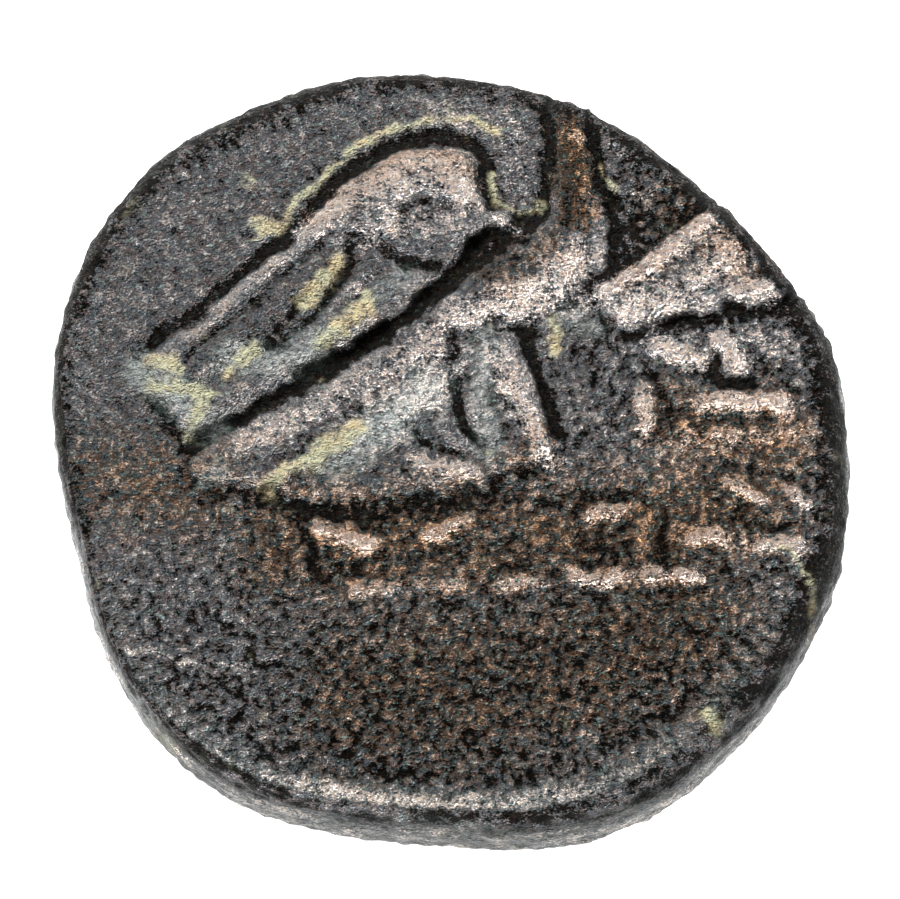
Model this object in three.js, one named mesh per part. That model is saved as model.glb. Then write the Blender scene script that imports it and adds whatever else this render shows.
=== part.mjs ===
// An ancient struck bronze coin, lying with its eagle side up.
// Millimetres, +Z up. The origin is under the middle of the coin, on the surface that it lies on.
import * as THREE from "three";

// Sizes of the struck coin, in millimetres
const COIN_WIDTH = 19; // from left to right at the widest line of the side, evened out
const COIN_DEPTH = 19; // the same from front to back
const FIELD_HEIGHT = 3.2; // from the table to the plain ground of the eagle side
const WIDEST_HEIGHT = 1.5; // from the table to the widest line of the side
const UPPER_RELIEF = 0.62; // from the plain ground of the eagle side to its tallest carving
const LOWER_RELIEF = 0.32; // how far the worn design below lifts the lower ground off the table
const LIP_HEIGHT = 0.12; // of the low lip along the front of the eagle side
const LIP_WIDTH = 0.9; // how far in from the edge that lip reaches
// How far the rounded edge stands out past the eagle side, every 30 degrees from the right,
// going anticlockwise as seen from above, and past the lower side all round
const UPPER_OVERHANG = [0.67, 0.62, 0.57, 0.48, 0.71, 0.52, 0.29, 0.31, 0.52, 0.62, 0.83, 0.71];
const LOWER_OVERHANG = 0.76;
const BOSS_WIDTH = 3.4; // across the foot of the boss in the middle of the lower side
const RIM_WIDTH = 1.9; // across the foot of the rim round the lower side

// How finely the surfaces are divided
const UPPER_RINGS = 32;
const LOWER_RINGS = 14;
const SIDE_RINGS = 4;
const DIVISIONS_PER_RING = 6; // each ring of a face has this many more points than the one inside it
const LINE_STEPS = 5; // straight pieces between two points of a carved line

const TURN = 2 * Math.PI;

// Everything below that isn't in millimetres is in shares: hundredths of half the coin's width
// from left to right, and of half its depth from front to back.

// The uneven outline: distance of the side from the middle, every 15 degrees, as above
const SIDE_OUTLINE = [
  100, 100.2, 96, 94, 94.7, 96.2, 97.7, 101, 103.2, 106.5, 105.8, 103.3,
  99, 97, 99.7, 102.2, 101.8, 98.5, 97.9, 101.5, 103.4, 102.5, 101.9, 101.8,
];
const EDGE_SQUARENESS = 2.5; // 2 is a half round edge, and more is squarer
const LIP_SPAN = [0.54, 0.93]; // where the lip starts and ends, in turns from the right

// The carving, with x to the right and y up the face. A plate is raised inside a closed line,
// with a sloping wall of the width given. A rise or depth of 1 is all of UPPER_RELIEF.
const PLATES = [
  // near wing
  { rise: 0.6, wall: 6, line: [
    [-76, 25], [-53, 42], [-31, 65], [-9, 79], [5, 77], [8, 64], [20, 57], [4, 50], [-11, 36],
    [-35, 23], [-60, 7], [-70, 10],
  ] },
  // far wing, which runs off the right of the coin
  { rise: 0.6, wall: 6, line: [[34, 36], [50, 51], [65, 64], [78, 62], [96, 44], [80, 36.5], [52, 31]] },
  // body under the near wing, from the breast to the tail
  { rise: 0.45, wall: 6, line: [
    [25, 60], [38, 60], [38, 48], [28, 38], [14, 30], [10, 10], [-8, -9], [-30, -12], [-58, -8],
    [-66, -1], [-47, 11], [-12, 32],
  ] },
];
// A ridge is raised along a line, and a cut is sunk along one. Each has its half widths at the
// start and at the end of the line.
const RIDGES = [
  // shoulder of the near wing, and the feathers behind it
  { rise: 1, widths: [7, 8], line: [[-30, 59], [-19, 68], [-4, 72], [3, 62]] },
  { rise: 0.82, widths: [6, 5], line: [[-32, 54], [-54, 37], [-72, 23]] },
  { rise: 0.84, widths: [6, 4], line: [[-22, 48], [-40, 30], [-66, 15]] },
  { rise: 0.9, widths: [7, 4], line: [[-5, 54], [-20, 38], [-38, 25], [-60, 11]] },
  // neck, breast and belly
  { rise: 0.6, widths: [7, 8], line: [[31, 96], [32, 75], [31, 54]] },
  { rise: 1, widths: [8, 10], line: [[31, 54], [18, 44], [2, 33]] },
  { rise: 0.8, widths: [10, 6], line: [[2, 33], [-20, 18], [-60, 0]] },
  // tail below the belly
  { rise: 0.72, widths: [7, 4], line: [[-17, 7], [-34, -2], [-50, -9]] },
  // thigh and foot of the first leg
  { rise: 0.9, widths: [9, 6], line: [[-3, 23], [-9, 12], [-13, 2]] },
  { rise: 0.8, widths: [5, 4], line: [[-9, -3], [5, -7]] },
  // thigh and foot of the second leg
  { rise: 0.85, widths: [7, 6], line: [[12, 26], [15, 14], [22, 2]] },
  // leading edge of the far wing
  { rise: 0.95, widths: [5, 7], line: [[37, 39], [51, 50], [67, 60]] },
  // marks that stand in for a worn inscription: a group by the legs and a row under the feet
  { rise: 0.5, widths: [4, 4], line: [[46, 23], [50, 9]] },
  { rise: 0.55, widths: [5, 5], line: [[53, 25], [60, 23]] },
  { rise: 0.55, widths: [5, 5], line: [[69, 28], [74, 19]] },
  { rise: 0.5, widths: [4, 4], line: [[65, 12], [81, 12]] },
  { rise: 0.5, widths: [5, 5], line: [[72, -10], [86, -14]] },
  { rise: 0.5, widths: [6, 5], line: [[-32, -20], [-23, -24]] },
  { rise: 0.4, widths: [4, 4], line: [[-7, -20], [3, -18]] },
  { rise: 0.45, widths: [5, 5], line: [[35, -17], [42, -17]] },
];
const CUTS = [
  // trench round the front of the near wing
  { depth: 0.4, widths: [3, 4], line: [[-76, 28], [-56, 43.5], [-33, 67], [-9, 82], [7, 78], [12, 61]] },
  // gap between the near wing and the body
  { depth: 0.8, widths: [4, 5], line: [[-64, 4], [-28, 25], [-1, 42], [10, 52], [25, 63]] },
  // both sides of the neck
  { depth: 0.4, widths: [4, 4], line: [[24, 93], [25, 77], [24, 64]] },
  { depth: 0.4, widths: [4, 4], line: [[37, 84], [41, 66], [41, 56], [36, 45]] },
  // low ground between the neck and the far wing
  { depth: 0.3, widths: [6, 6], line: [[48, 58], [59, 68]] },
  // outer side of the two legs
  { depth: 0.4, widths: [3.5, 3.5], line: [[3, 29], [-1, 12], [6, -1]] },
  { depth: 0.6, widths: [4, 4], line: [[19, 27], [23, 12], [28, -6]] },
  // under the far wing
  { depth: 0.6, widths: [3.5, 3.5], line: [[41, 28], [60, 32], [90, 38]] },
  // under the tail and the feet
  { depth: 0.3, widths: [4, 4], line: [[-52, -14], [0, -14], [47, -12]] },
  // pit in the row of marks
  { depth: 0.4, widths: [4, 4], line: [[35, -25], [41, -25]] },
];
const JOIN_SHARPNESS = 6; // how closely raised parts that overlap keep to the taller one
const OPEN_CUT_DEPTH = 0.5; // how much of a cut's depth shows where nothing is raised

// The plain design below: a worn rosette round a boss, inside a rim. A rise of 1 is all of
// LOWER_RELIEF. All that is higher is worn down to that one level, which the coin rests on.
const PETALS = 6;
const PETAL = { rise: 2, widths: [7, 13], reach: [26, 50] };
const BOSS_RISE = 3;
const RIM_RISE = 3;
const RIM_PLACE = 0.86; // of the way from the middle to the edge of the lower side

// One share in millimetres, from left to right, from front to back, and in between
const shareAcross = COIN_WIDTH / 200;
const shareDeep = COIN_DEPTH / 200;
const share = (shareAcross + shareDeep) / 2;

const clampToOne = (value) => THREE.MathUtils.clamp(value, 0, 1);
const placeAt = (out, angle) => [out * Math.cos(angle), out * Math.sin(angle)];
const listOf = (count, make) => Array.from({ length: count }, (_, i) => make(i));
const ringOf = (count, make) => listOf(count, (i) => make((TURN * i) / count));

// A smooth closed curve of one value round the coin, through values at even angles.
function roundTheCoin(values, angle) {
  const count = values.length;
  const place = ((angle / TURN) * count + count) % count;
  const first = Math.floor(place);
  const [a, b, c, d] = [-1, 0, 1, 2].map((step) => values[(first + step + count) % count]);
  const t = place - first;
  return b + 0.5 * t * (c - a + t * (2 * a - 5 * b + 4 * c - d + t * (3 * (b - c) + d - a)));
}

const sideRadius = (angle) => roundTheCoin(SIDE_OUTLINE, angle);
const upperRadius = (angle) => sideRadius(angle) - roundTheCoin(UPPER_OVERHANG, angle) / share;
const lowerRadius = (angle) => sideRadius(angle) - LOWER_OVERHANG / share;

// A carved line, rounded off between the points that it is given by.
function smoothLine(points, closed) {
  const corners = points.map(([x, y]) => new THREE.Vector3(x, y, 0));
  const curve = new THREE.CatmullRomCurve3(corners, closed, "catmullrom", 0.5);
  return curve.getPoints(LINE_STEPS * (closed ? points.length : points.length - 1));
}

// The place of a line nearest to a point: how far off it is, and how far along, from 0 to 1.
function nearestPlace(line, x, y) {
  let nearest = { distance: Infinity, along: 0 };
  for (let i = 0; i + 1 < line.length; i++) {
    const from = line[i];
    const [dx, dy] = [line[i + 1].x - from.x, line[i + 1].y - from.y];
    const t = clampToOne(((x - from.x) * dx + (y - from.y) * dy) / (dx * dx + dy * dy));
    const distance = Math.hypot(x - from.x - t * dx, y - from.y - t * dy);
    if (distance < nearest.distance) {
      nearest = { distance, along: (i + t) / (line.length - 1) };
    }
  }
  return nearest;
}

function isInside(loop, x, y) {
  let inside = false;
  for (let i = 0; i + 1 < loop.length; i++) {
    const [from, to] = [loop[i], loop[i + 1]];
    const crosses = from.y > y !== to.y > y;
    if (crosses && x < from.x + ((y - from.y) * (to.x - from.x)) / (to.y - from.y)) {
      inside = !inside;
    }
  }
  return inside;
}

// A rounded wall: 0 at its foot and below, and 1 at its top and beyond.
const wallShape = (climb) => Math.sin((Math.PI / 2) * clampToOne(climb)) ** 0.8;

function plate({ rise, wall, line }) {
  const loop = smoothLine(line, true);
  return (x, y) =>
    isInside(loop, x, y) ? rise * wallShape(nearestPlace(loop, x, y).distance / wall) : 0;
}

function stroke({ rise, widths: [start, end], line }) {
  const path = smoothLine(line, false);
  return (x, y) => {
    const { distance, along } = nearestPlace(path, x, y);
    return rise * wallShape(1 - distance / (start + (end - start) * along));
  };
}

// Raised parts that overlap grow into each other instead of adding up.
const joined = (parts, x, y) =>
  parts.reduce((sum, part) => sum + part(x, y) ** JOIN_SHARPNESS, 0) ** (1 / JOIN_SHARPNESS);

// A design as a mesh with points this far apart can carry it: its mean over a small round patch.
function softened(design, spacing) {
  const rounds = [[0, 1], [0.4, 6], [0.8, 12]];
  const patch = rounds.flatMap(([out, count]) => ringOf(count, (angle) => placeAt(out * spacing, angle)));
  return (x, y) => patch.reduce((sum, [dx, dy]) => sum + design(x + dx, y + dy), 0) / patch.length;
}

const raisedParts = [...PLATES.map(plate), ...RIDGES.map(stroke)];
const sunkParts = CUTS.map(({ depth, ...cut }) => stroke({ rise: depth, ...cut }));

const upperDesign = softened((x, y) => {
  const sunk = Math.max(...sunkParts.map((part) => part(x, y)));
  return Math.max(joined(raisedParts, x, y) - sunk, -OPEN_CUT_DEPTH * sunk);
}, 100 / UPPER_RINGS);

function lipHeight(x, y) {
  const angle = Math.atan2(y, x);
  const [start, end] = LIP_SPAN;
  const along = clampToOne(((angle / TURN + 1) % 1 - start) / (end - start));
  const inFromEdge = share * (upperRadius(angle) - Math.hypot(x, y));
  return LIP_HEIGHT * Math.sqrt(Math.sin(Math.PI * along)) * wallShape(1 - inFromEdge / LIP_WIDTH);
}

const upperHeight = (x, y) => FIELD_HEIGHT + UPPER_RELIEF * upperDesign(x, y) + lipHeight(x, y);

const boss = (x, y) => BOSS_RISE * wallShape(1 - (share * Math.hypot(x, y)) / (BOSS_WIDTH / 2));
const rim = (x, y) => {
  const fromRim = Math.hypot(x, y) - RIM_PLACE * lowerRadius(Math.atan2(y, x));
  return RIM_RISE * wallShape(1 - (share * Math.abs(fromRim)) / (RIM_WIDTH / 2));
};
const petals = ringOf(PETALS, (angle) => {
  const line = PETAL.reach.map((out) => placeAt(out, angle));
  return stroke({ rise: PETAL.rise, widths: PETAL.widths, line });
});

const lowerDesign = softened((x, y) => joined([boss, rim, ...petals], x, y), 100 / LOWER_RINGS);

const lowerHeight = (x, y) => LOWER_RELIEF * (1 - Math.min(lowerDesign(x, y), 1));

const coinPoint = ([x, y], z) => new THREE.Vector3(shareAcross * x, shareDeep * y, z);

// One ring of a face, counted from its middle, where the first is a single point.
function faceRing(ring, rings, radius, height) {
  return ringOf(Math.max(1, DIVISIONS_PER_RING * ring), (angle) => {
    const place = placeAt((radius(angle) * ring) / rings, angle);
    return coinPoint(place, height(...place));
  });
}

// One ring of the rounded edge. Its level goes from 1 at the upper face, past 0 at the widest
// line, to -1 at the lower face.
function sideRing(level) {
  const swell = (1 - Math.abs(level) ** EDGE_SQUARENESS) ** (1 / EDGE_SQUARENESS);
  const [radius, height] = level > 0 ? [upperRadius, upperHeight] : [lowerRadius, lowerHeight];
  return ringOf(DIVISIONS_PER_RING * UPPER_RINGS, (angle) => {
    const inner = radius(angle);
    const edgeHeight = height(...placeAt(inner, angle));
    const place = placeAt(inner + (sideRadius(angle) - inner) * swell, angle);
    return coinPoint(place, WIDEST_HEIGHT + (edgeHeight - WIDEST_HEIGHT) * Math.abs(level));
  });
}

// All the rings, from the middle of the upper face over the edge to the middle of the lower face.
function coinRings() {
  const upper = listOf(UPPER_RINGS + 1, (i) => faceRing(i, UPPER_RINGS, upperRadius, upperHeight));
  const side = listOf(SIDE_RINGS, (i) => sideRing(Math.cos((Math.PI * (i + 1)) / (SIDE_RINGS + 1))));
  const lower = listOf(LOWER_RINGS + 1, (i) => faceRing(i, LOWER_RINGS, lowerRadius, lowerHeight));
  return [...upper, ...side, ...lower.reverse()];
}

// Triangles between two neighbouring rings, each given by its first point and its number of
// points. The numbers may differ, and a ring of one point closes a face.
function stitched(ring, next) {
  const triangles = [];
  const pointOf = ({ first, count }, i) => first + (i % count);
  let [i, j] = [0, 0];
  while (i < ring.count || j < next.count) {
    const corners = [pointOf(ring, i), pointOf(next, j)];
    if ((i + 1) / ring.count < (j + 1) / next.count) {
      i += 1;
      corners.push(pointOf(ring, i));
    } else {
      j += 1;
      corners.push(pointOf(next, j));
    }
    if (new Set(corners).size === 3) triangles.push(...corners);
  }
  return triangles;
}

function coinGeometry() {
  const rings = coinRings();
  const triangles = [];
  let first = 0;
  for (let i = 0; i + 1 < rings.length; i++) {
    const ring = { first, count: rings[i].length };
    const next = { first: first + ring.count, count: rings[i + 1].length };
    triangles.push(...stitched(ring, next));
    first = next.first;
  }
  const geometry = new THREE.BufferGeometry().setFromPoints(rings.flat());
  geometry.setIndex(triangles);
  geometry.computeBoundingBox();
  const middle = geometry.boundingBox.getCenter(new THREE.Vector3());
  geometry.translate(-middle.x, -middle.y, 0);
  geometry.computeVertexNormals();
  return geometry;
}

const wornBronze = new THREE.MeshStandardMaterial({ color: 0x57504a, roughness: 0.5, metalness: 0.6 });

const coin = new THREE.Mesh(coinGeometry(), wornBronze);
coin.name = "struck_coin";

const part = new THREE.Group();
part.add(coin);
export default part;
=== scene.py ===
"""A small ancient struck bronze coin, lying eagle side up on a pale surface.

The coin is drawn in shares: hundredths of half its width from left to right, and of half its
depth from front to back, as seen from above with the eagle the right way up. Heights are in metres.
"""
import math
from collections import namedtuple

import bpy
import numpy as np
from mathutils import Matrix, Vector


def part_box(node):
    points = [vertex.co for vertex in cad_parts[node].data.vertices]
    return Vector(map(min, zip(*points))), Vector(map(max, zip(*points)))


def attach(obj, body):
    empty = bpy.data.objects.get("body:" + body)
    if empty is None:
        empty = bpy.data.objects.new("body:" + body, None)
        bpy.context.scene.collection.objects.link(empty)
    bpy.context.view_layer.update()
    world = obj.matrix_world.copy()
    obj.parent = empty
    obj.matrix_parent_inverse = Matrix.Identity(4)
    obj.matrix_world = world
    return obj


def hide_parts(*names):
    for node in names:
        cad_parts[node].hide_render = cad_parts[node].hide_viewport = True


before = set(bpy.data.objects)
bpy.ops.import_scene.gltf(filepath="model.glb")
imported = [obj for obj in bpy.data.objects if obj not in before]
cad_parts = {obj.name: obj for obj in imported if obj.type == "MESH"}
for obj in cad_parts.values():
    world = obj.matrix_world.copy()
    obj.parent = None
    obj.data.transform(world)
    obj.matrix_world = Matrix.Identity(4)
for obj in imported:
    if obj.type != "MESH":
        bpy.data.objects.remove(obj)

bl_info = {
    "name": "Worn Bronze Coin",
    "version": (1, 0, 0),
    "blender": (4, 5, 0),
    "location": "3D View > Sidebar > Bronze Coin",
    "description": "Strikes, wears and patinates a small ancient bronze coin around its packed solid",
    "category": "Add Mesh",
}

MM = 0.001
TURN = 2 * math.pi
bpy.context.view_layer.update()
COIN_LOW, COIN_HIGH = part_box("struck_coin")
COIN_HEIGHT = COIN_HIGH[2] - COIN_LOW[2]

# Outline of the widest line of the side, every 15 degrees from the right, going anticlockwise,
# in shares
SIDE_OUTLINE = (
    100, 100.2, 96, 94, 94.7, 96.2, 97.7, 101, 103.2, 106.5, 105.8, 103.3,
    99, 97, 99.7, 102.2, 101.8, 98.5, 97.9, 101.5, 103.4, 102.5, 101.9, 101.8,
)
# How far the rounded edge stands out past the eagle side, every 30 degrees, and past the lower
# side, in shares
UPPER_OVERHANG = (7.1, 6.5, 6.0, 5.1, 7.5, 5.5, 3.1, 3.3, 5.5, 6.5, 8.7, 7.5)
LOWER_OVERHANG = 8.0
EDGE_SQUARENESS = 2.5

# The grain and the rubbed streaks of the side are drawn out round the coin
SIDE_GRAIN = (0.45, 0.45, 1.8)
SIDE_STREAKS = (0.16, 0.16, 1)

LIP_SPAN = (0.54, 0.93)  # part of the way round, from the right, that the lip takes up

# Two places on the side, each by its direction and how far round it reaches, in shares: a yellow soil
# stain, and where the painted shade of the bevel is thinner
YELLOW_SPOT = (-70, -72)
YELLOW_REACH = 5
THIN_BEVEL_SHADE = (0, -100)
THIN_BEVEL_SHADE_REACH = 32

# Worn rosette of the lower side, in shares
BOSS_RADIUS = 17.9
RIM_PLACE = 0.86  # as a part of the lower side's own radius
RIM_HALF_WIDTH = 10
PETALS = 6
PETAL_REACH = (26, 50)
PETAL_HALF_WIDTHS = (7, 13)

UPPER_RINGS = 144
SIDE_RINGS = 20
LOWER_RINGS = 70
DIVISIONS_PER_RING = 6
LINE_STEPS = 5

OUTLINE_SAMPLES = 1440

# The square of points that the relief is worked out on: shares from its middle to each side
GRID_REACH = 108
GRID_SIDE = 704

# Large odd numbers that turn whole-numbered places into random-looking ones
SCATTERERS = (374761393, 668265263, 974634347, 1274126177)
STIRRERS = ((15, 2246822519), (13, 3266489917))
LOW_BITS = 0xFFFFFFFF

# A plate is raised inside a closed line, with a wall of the width given. A ridge is raised along
# a line, with half widths at its start and end, and a cut is sunk along one. A rise of 1 is the
# whole height of the relief.
Plate = namedtuple("Plate", "rise wall points")
Line = namedtuple("Line", "rise start end points")


def plate(rise, wall, *points):
    return Plate(rise, wall, points)


def line(rise, start, end, *points):
    return Line(rise, start, end, points)


PLATES = (
    # near wing
    plate(0.6, 3.2, (-75, 25), (-63, 32), (-52, 43), (-40, 52), (-32, 62.5), (-19, 73.5), (-5, 77.5),
          (4.5, 76), (8, 69), (7, 63), (12, 60), (18, 57), (12, 52), (3, 45), (-10, 32), (-23, 24),
          (-37, 16), (-54, 5), (-63, 2), (-70, 7), (-75, 19)),
    # far wing, which runs off the right of the coin
    plate(0.55, 3, (37, 39), (47, 47), (57, 56), (64.5, 60), (74, 58), (86, 50), (99, 42),
          (84, 37), (72, 36), (60, 33), (47, 30), (41, 31)),
    # neck, breast, belly, legs and tail
    plate(0.42, 3, (25, 102), (26, 82), (26, 68), (22, 59), (10, 49), (-3, 38), (-13, 30),
          (-28, 20), (-45, 11), (-62, 0), (-66, -5), (-62, -9), (-49, -11), (-36, -14), (-22, -14),
          (-8, -12), (6, -11), (15, -6), (26, -3), (26, 6), (22, 16), (18, 30), (27, 36),
          (34, 41), (40, 48), (40, 56), (37, 66), (35, 76), (35, 88), (36, 102)),
)

# Worn marks in the place of an inscription, the spur of the wing and the claws
RIDGES = (
    line(0.75, 2.4, 1.6, (4.5, 62), (11, 59.5), (17, 56)),
    line(0.62, 3.4, 2.8, (-9, -4), (-1, -6), (6, -7)),
    line(0.4, 4, 4, (53, 26), (60, 23)),
    line(0.42, 2.8, 2.4, (48, 15), (48.5, 6)),
    line(0.4, 3, 3.4, (68, 27), (72, 21)),
    line(0.48, 3.8, 3.8, (64, 12), (73, 11.5), (83, 11)),
    line(0.3, 2.4, 2.4, (66, 4), (71, 3)),
    line(0.42, 3.4, 2.6, (71, -10), (77, -13)),
    line(0.34, 2.6, 2.4, (86, -12), (89, -15)),
    line(0.35, 3, 2.8, (61, -23), (69, -23)),
    line(0.3, 2.6, 2.6, (77, -26), (87, -25)),
    line(0.06, 0.9, 0.9, (-80, -51), (-66, -54.5), (-51, -56)),
    line(0.45, 4.6, 3, (-32, -20), (-26, -23), (-21, -26)),
    line(0.38, 3, 2.6, (-6, -23), (4, -20)),
    line(0.42, 2.8, 2.8, (35, -17), (42, -17)),
    line(0.42, 3, 3, (32, -33), (42, -33)),
    line(0.34, 2.4, 2.2, (48, -19), (48, -27)),
    line(0.46, 3, 3, (50, -32), (52, -34)),
    line(0.4, 2.8, 2.8, (58, -32), (61, -33)),
    line(0.28, 2.4, 2.4, (-23, -36), (-14, -36)),
    line(0.3, 2.4, 2.4, (-6, -36), (2, -34)),
    line(0.3, 2.4, 2.4, (12, -35), (23, -36)),
)

# Gentle swells of the worn figure, which add to what they lie on
SWELLS = (
    # shoulder and feathers of the near wing
    line(0.5, 10, 12, (-30, 57), (-18, 66), (-6, 69), (2, 66), (3, 60)),
    line(0.12, 4, 4, (-17, 61), (-14, 54)),
    line(0.14, 4.5, 4, (-9, 57), (-1, 52)),
    line(0.18, 3.6, 3, (-34, 55), (-46, 46), (-56, 38), (-68, 29)),
    line(0.18, 3.6, 3, (-34, 44), (-46, 34), (-58, 24), (-66, 18)),
    line(0.22, 3.4, 3, (-21, 45), (-27, 36), (-36, 29)),
    line(0.14, 4.4, 3.6, (-17, 39), (-28, 30), (-44, 20), (-58, 12)),
    # neck, breast and belly
    line(0.12, 6, 6, (31, 98), (31, 80), (31, 62)),
    line(0.2, 3, 3, (28, 79), (32, 78)),
    line(0.5, 10, 9, (31, 54), (24, 48), (14, 41), (2, 34)),
    line(0.24, 8, 6, (2, 34), (-14, 23), (-36, 10), (-58, -2)),
    # thighs, shanks and tail
    line(0.34, 11, 8, (-5, 21), (-10, 12), (-13, 3)),
    line(0.16, 5, 4, (-20, 4), (-34, -4), (-48, -10)),
    line(0.14, 5, 4, (9, 26), (7, 12), (9, 0)),
    line(0.32, 5.6, 5, (14, 27), (18, 19), (21, 9)),
    line(0.36, 4, 3.6, (22, 4), (25, -3)),
    line(0.2, 3, 3, (14, -1), (19, -5)),
    # far wing
    line(0.36, 5, 6, (38, 37), (44, 43), (51, 48), (64, 57)),
    line(0.14, 6, 6, (46, 36), (58, 41), (72, 50)),
    line(0.2, 3.4, 3, (72, 40), (85, 40)),
    line(0.16, 5, 5, (72, 54), (84, 47)),
    # odd lumps of the ground
    line(0.18, 4, 3, (43, 78), (46, 72)),
    line(0.14, 3, 3, (47, 66), (50, 63)),
    line(0.1, 3, 3, (-60, -54), (-46, -57)),
)

CUTS = (
    # trench round the front of the near wing
    line(0.52, 1.4, 3.8, (-75, 27), (-58, 40), (-46, 51), (-37, 59), (-29, 68.5), (-19, 76),
         (-5, 80.5), (4, 79.5), (9.5, 74), (9, 66), (10, 62)),
    # gap between the near wing and the body
    line(0.42, 2.6, 2.8, (-66, -1), (-56, 5), (-45, 10.5), (-37, 16), (-23, 25), (-14, 31)),
    line(0.7, 2.4, 3.2, (-38, 18.5), (-23, 26), (-10, 35), (2, 47), (10, 54), (22, 60)),
    # hollows and grooves in the near wing
    line(0.34, 1.6, 1.6, (-12, 55), (-11, 60), (-7, 63), (-2, 63), (0, 60)),
    line(0.3, 1.3, 1.3, (4.5, 67), (5, 61), (4, 55)),
    line(0.26, 1.6, 2.4, (-26, 54), (-20, 51), (-13, 49)),
    line(0.5, 3, 3.8, (-12, 47.5), (-8, 46.5), (-4, 46.5)),
    line(0.32, 1.7, 1.2, (-30, 54), (-41, 45), (-52, 35), (-66, 24)),
    line(0.3, 1.6, 1.2, (-36, 38), (-42, 30), (-46, 26)),
    line(0.34, 1.6, 1.1, (-25, 50), (-27, 42), (-34, 33), (-44, 25)),
    # both sides of the neck, and round the breast
    line(0.34, 1.6, 2.4, (24, 96), (25, 82), (25, 72), (23, 61)),
    line(0.36, 1.6, 2.2, (36, 78), (38, 70), (41, 62), (41.5, 54)),
    line(0.26, 1.4, 1.6, (19, 36.5), (26, 38.5), (30.5, 41), (34, 46), (34, 52)),
    # low ground between the neck and the far wing
    line(0.25, 4, 6, (46, 56), (58, 68)),
    # tail groove and legs
    line(0.2, 1.4, 1.2, (-61, -3), (-55, 1), (-49, 4)),
    line(0.4, 1.8, 2, (1, 28), (0, 19), (1.5, 11), (2.5, 5), (6, 2), (10, -1)),
    line(0.3, 1.4, 1.4, (-10, 3.5), (-4, 0), (3, -2.5)),
    line(0.5, 2.2, 2, (12, 31), (19, 29), (22, 20), (24.5, 11), (28, 3)),
    # under the far wing
    line(0.42, 1.7, 1, (43, 29), (50, 28), (54, 30.5), (62, 33), (72, 33), (88, 37)),
    line(0.2, 3, 3, (66, 45), (71, 42)),
    # under the tail and the feet
    line(0.24, 2.2, 2.4, (-50, -13), (-30, -17), (-10, -15), (10, -14), (30, -13), (47, -12)),
    # beside the marks
    line(0.4, 1.4, 1.4, (50, 20), (52.5, 14), (55, 7)),
    line(0.5, 1.8, 2.6, (66.5, 24), (67, 17), (75, 17)),
    line(0.4, 2, 1.4, (76, 25), (81, 19)),
    line(0.4, 1.4, 1.6, (70, -4), (77, -5.5), (85, -7.5), (91, -4)),
    line(0.4, 2, 2.4, (72, -16), (77, -20), (84, -20)),
    line(0.5, 1.2, 1.8, (89, -41), (91, -47)),
    line(0.5, 3.4, 3.6, (33, -24), (40, -26)),
    line(0.5, 1.6, 2, (52.5, -14), (53, -20), (53, -28)),
    line(0.35, 1.6, 1.6, (31, -18), (34, -15)),
    line(0.4, 2, 2, (-35, -23), (-34, -31), (-28, -33), (-20, -30)),
    line(0.2, 1, 1, (-35, -71), (-27, -79), (-13, -83), (0, -76)),
)

JOIN_SHARPNESS = 7  # the higher, the less raised parts that meet grow into each other
OPEN_CUT_DEPTH = 0.45  # of a cut in the plain ground, as a part of its depth in the figure
LINE_WAVER = 3.8  # how far a drawn line strays from its points, in shares
FIGURE_BLUR = 0.85  # what is finer than this, in shares, is worn away

# Corrosion pits and knobs: how many are scattered, and the range of their radius in shares
PITS = 2600
PIT_SIZES = (0.7, 1.7)
KNOBS = 2200
KNOB_SIZES = (0.8, 1.9)

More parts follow.
